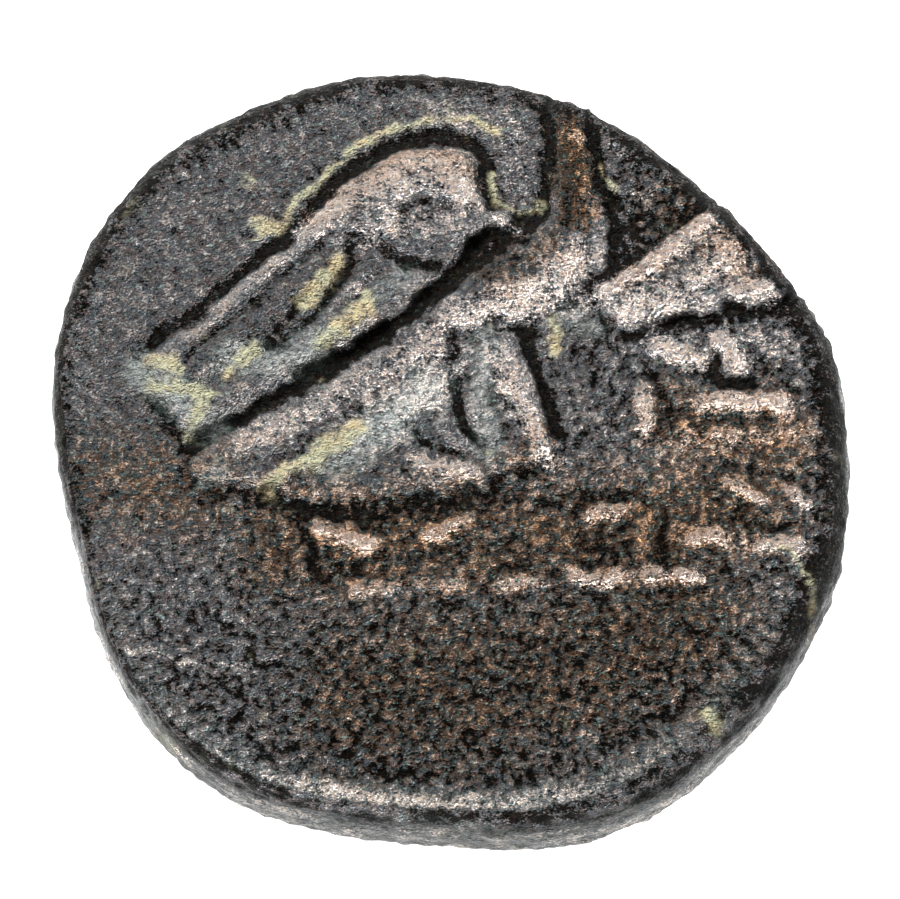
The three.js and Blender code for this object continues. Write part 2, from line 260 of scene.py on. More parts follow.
# Where the high parts are rubbed down to bare metal
WORN = (
    line(1.2, 6, 8, (-36, 56), (-27, 62), (-16, 67), (-3, 70), (4, 66), (4, 63)),
    line(0.8, 4, 4, (-16, 60), (-13, 55)),
    line(0.7, 4, 3, (-2, 62), (0, 56)),
    line(0.9, 2.5, 2, (5, 62), (17, 56)),
    line(0.5, 2.4, 2.4, (-40, 49), (-58, 36)),
    line(0.6, 2.6, 2.4, (-20, 43), (-25, 38)),
    line(0.7, 3.4, 3, (-52, 25), (-62, 19)),
    line(1.15, 8, 8, (6, 33), (14, 36), (25, 40), (33, 48)),
    line(0.8, 5, 5, (12, 32), (34, 38)),
    line(0.6, 8, 6, (2, 34), (-14, 22), (-36, 9), (-52, 1)),
    line(0.6, 8, 7, (0, 22), (-6, 12)),
    line(0.9, 6, 6, (12, 22), (15, 13), (20, 6)),
    line(0.9, 4, 4, (22, 3), (26, -4)),
    line(0.8, 4, 4, (-8, -4), (5, -7)),
    line(1.2, 5, 6, (35, 37), (50, 46), (64, 56)),
    line(0.95, 8, 8, (45, 35), (60, 40), (74, 50)),
    line(0.5, 5, 5, (60, 51), (72, 54)),
    line(0.95, 6, 6, (72, 41), (86, 38)),
    line(0.6, 3, 3, (41, 79), (44, 76)),
    line(0.6, 3, 3, (46, 67), (50, 65)),
    line(1, 5, 5, (51, 27), (62, 22)),
    line(0.8, 3.6, 3.6, (48, 14), (48.5, 5)),
    line(1, 4, 4, (68, 28), (73, 21)),
    line(1, 4.8, 4.8, (63, 11.5), (84, 10.5)),
    line(0.6, 5, 5, (60, 2), (90, 4)),
    line(0.8, 4.4, 3, (70, -10), (78, -14)),
    line(0.7, 3.4, 3, (85, -11), (90, -16)),
    line(0.7, 5, 5, (60, -23), (88, -26)),
    line(0.7, 1.3, 1.3, (-80, -51), (-66, -54.5), (-51, -56)),
    line(0.6, 2.6, 2.6, (33, -74), (36, -75)),
    line(0.6, 4, 3, (28, 82), (33, 80)),
    line(0.4, 4, 4, (33, 68), (35, 60)),
    line(0.5, 2.4, 2.4, (-24, -50), (-18, -52)),
    line(0.8, 5, 4, (-32, -20), (-21, -26)),
    line(0.6, 4, 3, (-6, -23), (4, -20)),
    line(0.8, 3.4, 3.4, (35, -17), (42, -17)),
    line(0.9, 4, 4, (30, -33), (62, -33)),
    line(0.7, 3, 3, (12, -35), (23, -36)),
    line(0.5, 4, 4, (-24, -36), (2, -34)),
)

# Ground rubbed to a light grey
GREY = (
    line(0.5, 8, 8, (16, 82), (17, 66)),
    line(0.4, 10, 10, (-4, 86), (10, 88)),
    line(0.85, 9, 8, (-8, 58), (-22, 53)),
    line(0.5, 8, 8, (54, 27), (84, 26)),
    line(0.35, 9, 9, (40, 4), (56, -2)),
    line(0.8, 12, 10, (-4, 17), (-20, 4)),
)

# Pale bloom of corrosion, greenish on the wing tip, the flank and the leg
BLOOM = (
    line(0.8, 8, 7, (-78, 20), (-68, 12), (-60, 5)),
    line(0.7, 7, 6, (-56, 22), (-40, 22), (-30, 30)),
    line(0.9, 9, 8, (-6, 14), (-18, 4), (-30, -4)),
    line(0.6, 5, 5, (9, 28), (8, 12), (10, -2)),
    line(0.5, 5, 5, (-12, 44), (-18, 38)),
    line(0.5, 5, 4, (30, 34), (36, 30)),
    line(0.5, 4, 3, (-58, -6), (-62, -10)),
    line(0.35, 3, 3, (2, -90.5), (7, -90.5)),
)

# Brown ground, where the patina has gone to a rusty brown
BROWN = (
    line(0.6, 24, 24, (-90, -8), (-62, -12)),
    line(0.85, 28, 34, (-40, -24), (0, -24), (46, -22), (70, -14)),
    line(0.75, 44, 40, (-16, -62), (30, -56), (56, -44)),
    line(0.8, 22, 24, (58, 6), (80, 2)),
    line(1.1, 9, 9, (30, 96), (31, 76), (32, 60)),
    line(0.6, 18, 18, (56, 62), (80, 50)),
    line(0.6, 7, 7, (24, 4), (14, -6)),
    line(0.5, 12, 10, (12, 44), (26, 52)),
    line(0.55, 8, 8, (-34, 60), (-8, 74), (5, 70)),
    line(0.5, 7, 8, (44, 42), (66, 58)),
)

# Dark dirt and painted shade on the neck, below the near wing, on its feathers and over the lower field
DIRT_AND_SHADE = (
    line(0.62, 12, 11, (31, 98), (30, 80), (31, 67)),
    line(0.34, 52, 52, (-54, -58), (0, -68), (44, -58)),
    line(0.25, 12, 14, (38, 24), (36, 4)),
    line(0.5, 6, 8, (42, 84), (46, 66), (44, 56)),
    line(0.4, 5, 7, (20, 58), (8, 47)),
    line(0.35, 5, 6, (-60, 2), (-44, 8), (-34, 14)),
    line(0.6, 7, 7, (-14, 25), (-3, 31), (6, 38), (14, 48)),
    line(0.5, 5, 6, (18, 53), (26, 56), (35, 61)),
    line(0.4, 4, 4, (-2, 61), (12, 60)),
    line(0.5, 4, 4, (10, 28), (20, 26)),
    line(0.4, 5, 5, (57, 42), (62, 39)),
    line(0.4, 4, 4, (62, 20), (86, 19)),
    line(0.16, 6, 6, (-60, -12), (-30, -18), (10, -16), (40, -14)),
    line(0.4, 9, 8, (-20, 47), (-38, 38), (-62, 22)),
    line(0.35, 6, 6, (-14, 52), (2, 48)),
    line(0.35, 6, 6, (52, 80), (66, 68)),
)

# Soil that has stayed in the hollows: its thickness as a share of the thickest
SOIL = (
    line(0.9, 1.7, 2, (-49, 54), (-42, 58), (-38, 64), (-31, 71), (-23, 77.5), (-15, 82),
         (-5, 84.5), (5, 84.5), (11, 81)),
    line(1, 4, 3, (-48, 57), (-43, 57)),
    line(0.8, 1.6, 2, (10.5, 71), (11, 65), (14, 61.5), (19, 60.5), (23, 63)),
    line(1, 4.2, 4.4, (-29, 46), (-37, 36)),
    line(1, 4.4, 5, (-21, 36), (-32, 27)),
    line(1, 3.6, 3.4, (-49, 24), (-56, 19)),
    line(1, 4, 4, (-74, 22), (-69, 20)),
    line(0.9, 4, 4.4, (-75, 16), (-66, 14), (-60, 13)),
    line(0.8, 4, 3, (-62, 10), (-65, 3)),
    line(1, 5.4, 4.4, (-24, 4), (-34, -3), (-46, -10)),
    line(1, 3.4, 3.4, (25.5, 33), (27, 25)),
    line(1, 3.2, 2.6, (63.5, -68.5), (67, -71.5)),
    line(0.7, 1.2, 1.2, (79, -26), (86, -27.5), (89.5, -34), (91, -38), (90.5, -46), (92, -47)),
    line(0.5, 3, 3, (-1, 88), (1, 88)),
    line(0.4, 3, 3, (-53, 69), (-51, 68)),
    line(0.4, 4, 3, (-80, 62), (-78, 60)),
    line(0.7, 2, 2, (38, 72), (41, 66)),
)


# Marks that each point of the surface carries: the crest from -1 to 1, the others from 0 to about 1
# grime_and_shade is dirt together with painted shade: it darkens hollows, cuts, the edge, and the side's
# bevel, back and right
SURFACE_MARKS = ("crest", "grime_and_shade", "worn", "brown", "bloom", "soil")

# Random patterns of the patina: spots to a millimetre, levels of detail and their roughness
PATTERNS = {
    "patches": (1.1, 3.0, 0.6),
    "blotches": (2.4, 2.0, 0.6),
    "hue": (5.0, 3.0, 0.75),
    "grit": (6.0, 3.0, 0.7),
    "teal": (6.5, 3.0, 0.7),
    "specks": (10.0, 2.0, 0.6),
    "dust": (17.0, 1.0, 0.5),
}
SPECKLE = {"patches": 0.5, "blotches": 0.45, "grit": 0.65, "specks": 0.9, "dust": 0.8}
PITTING_SIZE = 0.16
PITTING_CONTRAST = 2.2
PITTING_DEPTH = 0.24 * MM

# Second colours of small spots, which the settings' colours are tinted or mixed with
TEAL_STAIN = (0.66, 0.98, 1.05, 1)
RUST_STAIN = (1.5, 0.96, 0.62, 1)
COOL_GLINT = (0.72, 0.76, 0.84, 1)
WARM_GLINT = (0.95, 0.72, 0.58, 1)
GREY_SOIL = (0.38, 0.38, 0.27, 1)
OCHRE_SOIL = (0.40, 0.31, 0.17, 1)

# Stage
TARGET = (0, 0, 3.03 * MM)
FLOOR_REACH = 400 * MM
SOFTBOX_DISTANCE = 300 * MM
FILL_SIZE = 90 * MM
FILL_AZIMUTH = math.radians(-50)
FILL_ELEVATION = math.radians(32)
SENSOR_WIDTH = 36
NEAREST_SEEN = 0.01
FARTHEST_SEEN = 10


class CoinReliefSettings(bpy.types.PropertyGroup):
    """Sizes of the struck relief and of the corroded surface."""

    relief_height: bpy.props.FloatProperty(
        name="Relief height", description="From the plain ground to the tallest carving",
        default=0.62 * MM, min=0, unit="LENGTH", precision=5)
    widest_height: bpy.props.FloatProperty(
        name="Widest height", description="From the table to the widest line of the side",
        default=1.5 * MM, min=0, unit="LENGTH", precision=5)
    lip_height: bpy.props.FloatProperty(
        name="Lip height", description="Height of the low lip along the front of the eagle side",
        default=0.12 * MM, min=0, unit="LENGTH", precision=5)
    lip_width: bpy.props.FloatProperty(
        name="Lip width", description="How far in from the edge the lip reaches, in shares",
        default=8.0, min=0)
    lower_relief: bpy.props.FloatProperty(
        name="Lower relief", description="Depth of the worn design on the lower side",
        default=0.32 * MM, min=0, unit="LENGTH", precision=5)
    swell_depth: bpy.props.FloatProperty(
        name="Swell", description="Slow unevenness of the ground",
        default=0.05 * MM, min=0, unit="LENGTH", precision=5)
    grain_depth: bpy.props.FloatProperty(
        name="Grain", description="Depth of the corroded grain",
        default=0.085 * MM, min=0, unit="LENGTH", precision=5)
    pit_depth: bpy.props.FloatProperty(
        name="Pits", description="Depth of the deepest corrosion pits",
        default=0.08 * MM, min=0, unit="LENGTH", precision=5)
    soil_thickness: bpy.props.FloatProperty(
        name="Soil", description="Thickness of the soil left in the hollows",
        default=0.06 * MM, min=0, unit="LENGTH", precision=5)
    seed: bpy.props.IntProperty(
        name="Seed", description="Sets which random surface the corrosion has", default=7, min=0)


class CoinFinishSettings(bpy.types.PropertyGroup):
    """Colours of the metal, its patina and the soil on it."""

    cool_patina: bpy.props.FloatVectorProperty(
        name="Cool patina", description="Grey patina of the upper left field",
        subtype="COLOR", default=(0.118, 0.117, 0.125), min=0, max=1)
    warm_patina: bpy.props.FloatVectorProperty(
        name="Warm patina", description="Brown patina of the lower field",
        subtype="COLOR", default=(0.060, 0.047, 0.038), min=0, max=1)
    cool_bronze: bpy.props.FloatVectorProperty(
        name="Half-worn bronze", description="Grey sheen where the patina is rubbed thin",
        subtype="COLOR", default=(0.375, 0.36, 0.355), min=0, max=1)
    bare_bronze: bpy.props.FloatVectorProperty(
        name="Bare bronze", description="Metal worn bare on the high parts",
        subtype="COLOR", default=(1.0, 0.88, 0.79), min=0, max=1)
    rust_bronze: bpy.props.FloatVectorProperty(
        name="Brown bronze", description="Brown specks of metal in the warm patina",
        subtype="COLOR", default=(0.46, 0.26, 0.135), min=0, max=1)
    # Nearly black: painted into hollows, cuts, the edge and the bevel as painted shade as well as dirt
    grime_and_shade: bpy.props.FloatVectorProperty(
        name="Grime", description="Dark dirt in the hollows",
        subtype="COLOR", default=(0.0045, 0.0036, 0.003), min=0, max=1)
    soil: bpy.props.FloatVectorProperty(
        name="Soil", description="Pale soil left beside the wing and the tail",
        subtype="COLOR", default=(0.26, 0.245, 0.14), min=0, max=1)
    bloom: bpy.props.FloatVectorProperty(
        name="Bloom", description="Pale grey-green bloom on the flank and the wing tip",
        subtype="COLOR", default=(0.34, 0.38, 0.36), min=0, max=1)
    verdigris: bpy.props.FloatVectorProperty(
        name="Verdigris", description="Blue-green specks and tints",
        subtype="COLOR", default=(0.17, 0.25, 0.22), min=0, max=1)


class CoinStageSettings(bpy.types.PropertyGroup):
    """The pale surface, the lamps and the camera."""

    floor_color: bpy.props.FloatVectorProperty(
        name="Floor", description="Colour of the surface under the coin",
        subtype="COLOR", default=(0.15, 0.15, 0.15), min=0, max=1)
    floor_glow: bpy.props.FloatProperty(
        name="Floor glow", description="Light that the pale surface gives off by itself",
        default=1.45, min=0)
    world_glow: bpy.props.FloatProperty(
        name="Room light", description="Even light from all round",
        default=0.12, min=0)
    key_power: bpy.props.FloatProperty(
        name="Key light", description="Power of the soft light above the coin's top",
        default=3.0, min=0, unit="POWER")
    key_size: bpy.props.FloatProperty(
        name="Key size", description="Width of the soft light",
        default=110 * MM, min=0, unit="LENGTH")
    key_azimuth: bpy.props.FloatProperty(
        name="Key direction", description="Way to the soft light, clockwise from the coin's top",
        default=math.radians(-24), subtype="ANGLE")
    key_elevation: bpy.props.FloatProperty(
        name="Key elevation", description="Height of the soft light above the horizon",
        default=math.radians(58), subtype="ANGLE")
    fill_power: bpy.props.FloatProperty(
        name="Fill light", description="Power of the low light from the coin's upper left",
        default=1.0, min=0, unit="POWER")
    camera_elevation: bpy.props.FloatProperty(
        name="Camera elevation", description="Height of the camera above the horizon",
        default=math.radians(78), subtype="ANGLE")
    camera_distance: bpy.props.FloatProperty(
        name="Camera distance", description="From the camera to the middle of the coin",
        default=250 * MM, min=0.01, unit="LENGTH")
    frame_width: bpy.props.FloatProperty(
        name="Frame width", description="Width of the picture at the coin",
        default=21.43 * MM, min=0.001, unit="LENGTH", precision=4)


def eased_between(a, b, c, d, t):
    """The way from b to c on a smooth curve that comes from a and goes on to d."""
    return b + 0.5 * t * (c - a + t * (2 * a - 5 * b + 4 * c - d + t * (3 * (b - c) + d - a)))


def round_the_coin(values, angle):
    """A smooth closed curve of one value round the coin, through values at even angles."""
    values = np.asarray(values, float)
    place = (angle / TURN * len(values)) % len(values)
    first = np.floor(place).astype(int)
    a, b, c, d = (values[(first + step) % len(values)] for step in (-1, 0, 1, 2))
    return eased_between(a, b, c, d, place - first)


def even_angles(count):
    return np.arange(count) * TURN / count


def side_radius(angle):
    return round_the_coin(SIDE_OUTLINE, angle)


def upper_radius(angle):
    return side_radius(angle) - round_the_coin(UPPER_OVERHANG, angle)


def lower_radius(angle):
    return side_radius(angle) - LOWER_OVERHANG


def smooth_line(points, closed=False):
    """A line of short straight pieces, rounded off between the points that it is given by."""
    points = np.asarray(points, float)
    if closed:
        ring = np.vstack([points[-1], points, points[0], points[1]])
    else:
        ring = np.vstack([2 * points[0] - points[1], points, 2 * points[-1] - points[-2]])
    steps = np.arange(LINE_STEPS)[:, None] / LINE_STEPS
    pieces = [eased_between(*four, steps) for four in zip(ring, ring[1:], ring[2:], ring[3:])]
    return np.vstack([*pieces, ring[-2:-1]])


def wall_shape(climb):
    """A rounded wall: 0 at its foot and below, and 1 at its top and beyond."""
    return np.sin(math.pi / 2 * np.clip(climb, 0, 1)) ** 0.8


def soft_shape(climb):
    """A soft rise: 0 at its foot, and level again at its top."""
    return 0.5 - 0.5 * np.cos(math.pi * np.clip(climb, 0, 1))


def mound_shape(climb):
    """Between a rounded wall and a soft rise, as a worn stroke is."""
    return soft_shape(climb) ** 0.75


def nearest_place(path, x, y):
    """How far each point is from a line, and how far along the line its nearest place is."""
    distance = np.full(x.shape, np.inf)
    along = np.zeros(x.shape)
    for i, (start, end) in enumerate(zip(path, path[1:])):
        run = end - start
        reach = max(run @ run, 1e-12)
        t = np.clip(((x - start[0]) * run[0] + (y - start[1]) * run[1]) / reach, 0, 1)
        away = np.hypot(x - start[0] - t * run[0], y - start[1] - t * run[1])
        closer = away < distance
        distance = np.where(closer, away, distance)
        along = np.where(closer, (i + t) / (len(path) - 1), along)
    return distance, along


def is_inside(loop, x, y):
    inside = np.zeros(x.shape, bool)
    for (ax, ay), (bx, by) in zip(loop, loop[1:]):
        if ay == by:
            continue
        crosses = (ay > y) != (by > y)
        inside ^= crosses & (x < ax + (y - ay) * (bx - ax) / (by - ay))
    return inside


class FaceGrid:
    """A square of even steps over the eagle side, with values that can be read off anywhere."""

    def __init__(self):
        self.axis = np.linspace(-GRID_REACH, GRID_REACH, GRID_SIDE)
        self.step = self.axis[1] - self.axis[0]
        self.x, self.y = np.meshgrid(self.axis, self.axis)
        self.bent_x, self.bent_y = self.x, self.y
        self.bend = 0

    def bend_lines(self, amount, seed):
        """From here on, what is drawn wavers by up to about the amount, as worn edges do."""
        self.bend = amount
        self.bent_x = self.x + amount * octaves(self.x, self.y, 0, 9, 4, seed, 0.8)
        self.bent_y = self.y + amount * octaves(self.x, self.y, 50, 9, 4, seed, 0.8)

    def window(self, path, margin):
        low = np.searchsorted(self.axis, path.min(axis=0) - margin)
        high = np.searchsorted(self.axis, path.max(axis=0) + margin)
        return slice(low[1], high[1]), slice(low[0], high[0])

    def drawn_plate(self, shape):
        loop = smooth_line(shape.points, closed=True)
        area = self.window(loop, self.bend)
        x, y = self.bent_x[area], self.bent_y[area]
        climb = nearest_place(loop, x, y)[0] / shape.wall
        return area, shape.rise * np.where(is_inside(loop, x, y), wall_shape(climb), 0)

    def drawn_line(self, shape, profile):
        path = smooth_line(shape.points)
        area = self.window(path, max(shape.start, shape.end) + self.bend)
        distance, along = nearest_place(path, self.bent_x[area], self.bent_y[area])
        half_width = shape.start + (shape.end - shape.start) * along
        return area, shape.rise * profile(1 - distance / half_width)

    def highest(self, lines):
        """Soft lines drawn over each other, where the strongest shows."""
        field = np.zeros(self.x.shape)
        for shape in lines:
            area, height = self.drawn_line(shape, soft_shape)
            field[area] = np.maximum(field[area], height)
        return field

    def added(self, lines):
        """Soft lines that add up where they cross."""
        field = np.zeros(self.x.shape)
        for shape in lines:
            area, height = self.drawn_line(shape, soft_shape)
            field[area] += height
        return field

    def joined(self, plates, lines):
        """Raised parts that overlap grow into each other instead of adding up."""
        field = np.zeros(self.x.shape)
        worn_lines = [self.drawn_line(shape, mound_shape) for shape in lines]
        for area, height in [*map(self.drawn_plate, plates), *worn_lines]:
            field[area] += height ** JOIN_SHARPNESS
        return field ** (1 / JOIN_SHARPNESS)

    def blurred(self, field, radius):
        """The field with everything smaller than the radius, in shares, smoothed away."""
        rate = np.fft.fftfreq(GRID_SIDE, self.step)
        fade = np.exp(-2 * (math.pi * radius * rate) ** 2)
        return np.real(np.fft.ifft2(np.fft.fft2(field) * fade[:, None] * fade[None, :]))

    def read(self, field, x, y):
        """The field's value at any points, in between its steps too."""
        across = np.clip((x + GRID_REACH) / self.step, 0, GRID_SIDE - 1.001)
        up = np.clip((y + GRID_REACH) / self.step, 0, GRID_SIDE - 1.001)
        i, j = across.astype(int), up.astype(int)
        s, t = across - i, up - j
        lower = field[j, i] * (1 - s) + field[j, i + 1] * s
        upper = field[j + 1, i] * (1 - s) + field[j + 1, i + 1] * s
        return lower * (1 - t) + upper * t


def scattered(i, j, k, seed):
    """A repeatable random number from -1 to 1 for each whole-numbered place."""
    mixed = sum(part * factor for part, factor in zip((i, j, k, seed), SCATTERERS)) & LOW_BITS
    for shift, factor in STIRRERS:
        mixed = ((mixed ^ (mixed >> shift)) * factor) & LOW_BITS
    return ((mixed ^ (mixed >> 16)) & 0xFFFFFF) / 0x7FFFFF - 1


def noise(x, y, z, size, seed):
    """Smooth random hills and dips from about -1 to 1, each about as wide as the size."""
    places = [np.asarray(axis, float) / size for axis in (x, y, z)]
    places = np.broadcast_arrays(*places)
    cells = [np.floor(axis).astype(np.int64) for axis in places]
    parts = [axis - cell for axis, cell in zip(places, cells)]
    fades = [t * t * t * (t * (6 * t - 15) + 10) for t in parts]
    total = np.zeros(places[0].shape)
    for corner in range(8):
        steps = [(corner >> bit) & 1 for bit in range(3)]
        i, j, k = (cell + step for cell, step in zip(cells, steps))
        lean = sum(
            scattered(i, j, k, seed + 101 * number) * (part - step)
            for number, (part, step) in enumerate(zip(parts, steps)))
        weight = 1
        for fade, step in zip(fades, steps):
            weight = weight * (fade if step else 1 - fade)
        total += lean * weight
    return total * 1.6


def octaves(x, y, z, size, count, seed, roughness=0.6):
    """Noise of falling size laid over itself."""
    total, strength, most = 0, 1, 0
    for number in range(count):
        total = total + strength * noise(x, y, z, size / 2**number, seed + 17 * number)
        most += strength
        strength *= roughness
    return total / most


def blob(x, y, place, reach):
    """A soft round region: 1 in its middle, fading out over the reach."""
    return np.exp(-((x - place[0]) ** 2 + (y - place[1]) ** 2) / reach**2)


def smooth_step(value, low, high):
    t = np.clip((value - low) / (high - low), 0, 1)
    return t * t * (3 - 2 * t)


def surface_grain(x, y, z, seed):
    """The corroded grain of the whole coin: rounded grains with sharp dips between them."""
    coarse = octaves(x, y, z, 9, 2, seed)
    medium = 2.4 * np.abs(noise(x, y, z, 3.6, seed + 1)) - 0.6
    fine = 2.4 * np.abs(noise(x, y, z, 2.2, seed + 2)) - 0.6
    return 0.45 * coarse + 0.5 * medium + 0.5 * fine + 0.4 * noise(x, y, z, 1.4, seed + 4)


def scattered_pits(grid, random, count, sizes, chance_below, chance_above):
    """Round pits or knobs at random places, from 0 to 1 deep, more or less often in each half."""
    field = np.zeros(grid.x.shape)
    for _ in range(count):
        x, y = random.uniform(-100, 100, 2)
        radius = random.uniform(*sizes) * random.uniform(0.5, 1)
        depth = random.uniform(0.4, 1)
        if random.uniform() > (chance_below if y < 0 else chance_above):
            continue
        area = grid.window(np.array([[x, y]]), radius)
        away = np.hypot(grid.x[area] - x, grid.y[area] - y) / radius
        field[area] = np.maximum(field[area], depth * np.clip(1 - away**2, 0, 1) ** 1.5)
    return field


class EagleSide:
    """Heights and surface marks of the eagle side, worked out on a grid."""

    def __init__(self, settings, share):
        self.settings = settings
        grid = self.grid = FaceGrid()
        grid.bend_lines(LINE_WAVER, settings.seed + 40)
        self.ground = (COIN_HEIGHT - settings.relief_height) / share
        self.chewed = octaves(grid.x, grid.y, 20, 9, 4, settings.seed + 50, 0.7)
        self.ragged = octaves(grid.x, grid.y, 0, 6, 4, settings.seed + 8, 0.8)
        self.upper_left = smooth_step(grid.y - 0.9 * grid.x, 20, 70)
        self.sunk = 1.15 * grid.highest(CUTS) * (1 + 0.75 * self.chewed)
        self.worn = grid.highest(WORN) * (1 + 0.7 * self.feathering() + 0.3 * self.chewed)
        self.lip, self.painted_edge_shade = self.along_the_edge()
        self.soil = smooth_step(grid.highest(SOIL) + 0.95 * self.ragged, 0.2, 0.85)

        swell = octaves(grid.x, grid.y, self.ground, 30, 3, settings.seed + 3)
        self.smooth_height = (
            settings.relief_height * self.figure()
            + settings.lip_height * self.lip
            + settings.swell_depth * swell)
        soil_height = settings.soil_thickness * self.soil * (0.7 + 0.5 * self.ragged)
        self.height = self.smooth_height + self.corrosion() + soil_height
        self.marks = self.surface_marks()

    def slanting(self):
        """Places across and along the slant of the wing's feathers."""
        return (self.grid.x - self.grid.y) / math.sqrt(2), (self.grid.x + self.grid.y) / math.sqrt(2)

    def feathering(self):
        """Streaks that the rubbed patches break up into."""
        run, rise = self.slanting()
        return octaves(run, rise / 5, 9, 4.5, 3, self.settings.seed + 70)

    def figure(self):
        """The eagle and the marks beside it, as a share of the relief's height."""
        masses = self.grid.joined(PLATES, RIDGES)
        swells = self.grid.added(SWELLS) * np.clip(masses / 0.4, 0, 1)
        raised = (masses + 0.8 * swells) * (1 + 0.28 * self.chewed)
        figure = np.maximum(raised - self.sunk, -OPEN_CUT_DEPTH * self.sunk)
        return self.grid.blurred(figure, FIGURE_BLUR)

    def along_the_edge(self):
        """The low lip along the front, and painted shade along the edge where there is no lip."""
        angle = np.arctan2(self.grid.y, self.grid.x)
        start, end = LIP_SPAN
        along = np.clip(((angle / TURN) % 1 - start) / (end - start), 0, 1)
        from_edge = upper_radius(angle) - np.hypot(self.grid.bent_x, self.grid.bent_y)
        climb = soft_shape(1 - from_edge / self.settings.lip_width) ** 0.7
        lip = np.sqrt(np.sin(math.pi * along)) * climb
        # Painted shade: a dark band along the outermost edge of the eagle side, where there is no lip
        dirt_and_shade = 0.55 * (1 - lip) * smooth_step(-from_edge - 0.8 * self.chewed, -2.4, -0.6)
        return lip, dirt_and_shade

    def corrosion(self):
        """Depth of the grain, pits and knobs: wrinkled and calmer in the upper left."""
        settings, grid, upper_left = self.settings, self.grid, self.upper_left
        x, y, seed = grid.x, grid.y, settings.seed
        grain = surface_grain(x, y, self.ground, seed)
        run, rise = self.slanting()
        wander = 2 * noise(x, y, 0, 16, seed + 42)
        wrinkles = 1 - 2 * np.abs(noise(run / 3 + wander, rise + wander, self.ground, 2.6, seed + 5))
        smoothness = 1 - 0.25 * np.clip(self.worn, 0, 1)
        rough = ((1 - 0.45 * upper_left) * grain + 0.75 * upper_left * wrinkles) * smoothness
        random = np.random.default_rng(seed)
        pits = scattered_pits(grid, random, PITS, PIT_SIZES, 0.9, 0.9)
        knobs = scattered_pits(grid, random, KNOBS, KNOB_SIZES, 0.9, 0.4)
        calm = 1 - 0.6 * upper_left
        return (
            settings.grain_depth * (rough * (1 - 0.3 * upper_left) + 0.5 * upper_left * self.ragged)
            + settings.pit_depth * (0.7 * knobs - 0.75 * pits) * smoothness * calm)

    def surface_marks(self):
        """Where the surface is raised, dirty or in painted shade, worn or painted light, brown, pale or
        covered with soil.
        """
        grid, lip = self.grid, self.lip
        in_mm = self.height / MM
        crest = in_mm - grid.blurred(in_mm, 1.6)
        basin = grid.blurred(in_mm, 5) - grid.blurred(in_mm, 0.8)
        # Basins and cuts get dirt together with painted shade that stands for the shadow inside them
        hollow_dirt_and_shade = np.maximum(basin / 0.17, smooth_step(grid.blurred(self.sunk, 0.8), 0.12, 0.6))
        dirt_and_shade = grid.highest(DIRT_AND_SHADE)
        rubbed = 0.7 * grid.highest(GREY)
        return {
            "crest": np.clip(crest / 0.034, -1, 1) * (1 - 0.25 * self.upper_left),
            "grime_and_shade": np.clip(hollow_dirt_and_shade + self.painted_edge_shade + dirt_and_shade, 0, 1),
            # The top of the lip is rubbed bare and also given a painted highlight
            "worn": np.clip(self.worn + 0.95 * lip**7 + 0.1 * lip**2 + rubbed, 0, 1.1),
            "brown": grid.highest(BROWN),
            "bloom": np.maximum(grid.highest(BLOOM), 0.3 * lip**2),
            "soil": self.soil,
        }


def lower_design(x, y):
    """The worn rosette: boss, petals and rim, where 1 and above is the worn-down level."""
    out = np.hypot(x, y)
    rim_radius = RIM_PLACE * lower_radius(np.arctan2(y, x))
    boss = 3 * wall_shape(1 - out / BOSS_RADIUS)
    rim = 3 * wall_shape(1 - np.abs(out - rim_radius) / RIM_HALF_WIDTH)
    petals = 0
    inner, outer = PETAL_HALF_WIDTHS
    for turn in even_angles(PETALS):
        path = np.array([[reach * math.cos(turn), reach * math.sin(turn)] for reach in PETAL_REACH])
        distance, along = nearest_place(path, x, y)
        half_width = inner + (outer - inner) * along
        petals = np.maximum(petals, 2 * wall_shape(1 - distance / half_width))
    sharp = JOIN_SHARPNESS
    return (boss**sharp + rim**sharp + petals**sharp) ** (1 / sharp)


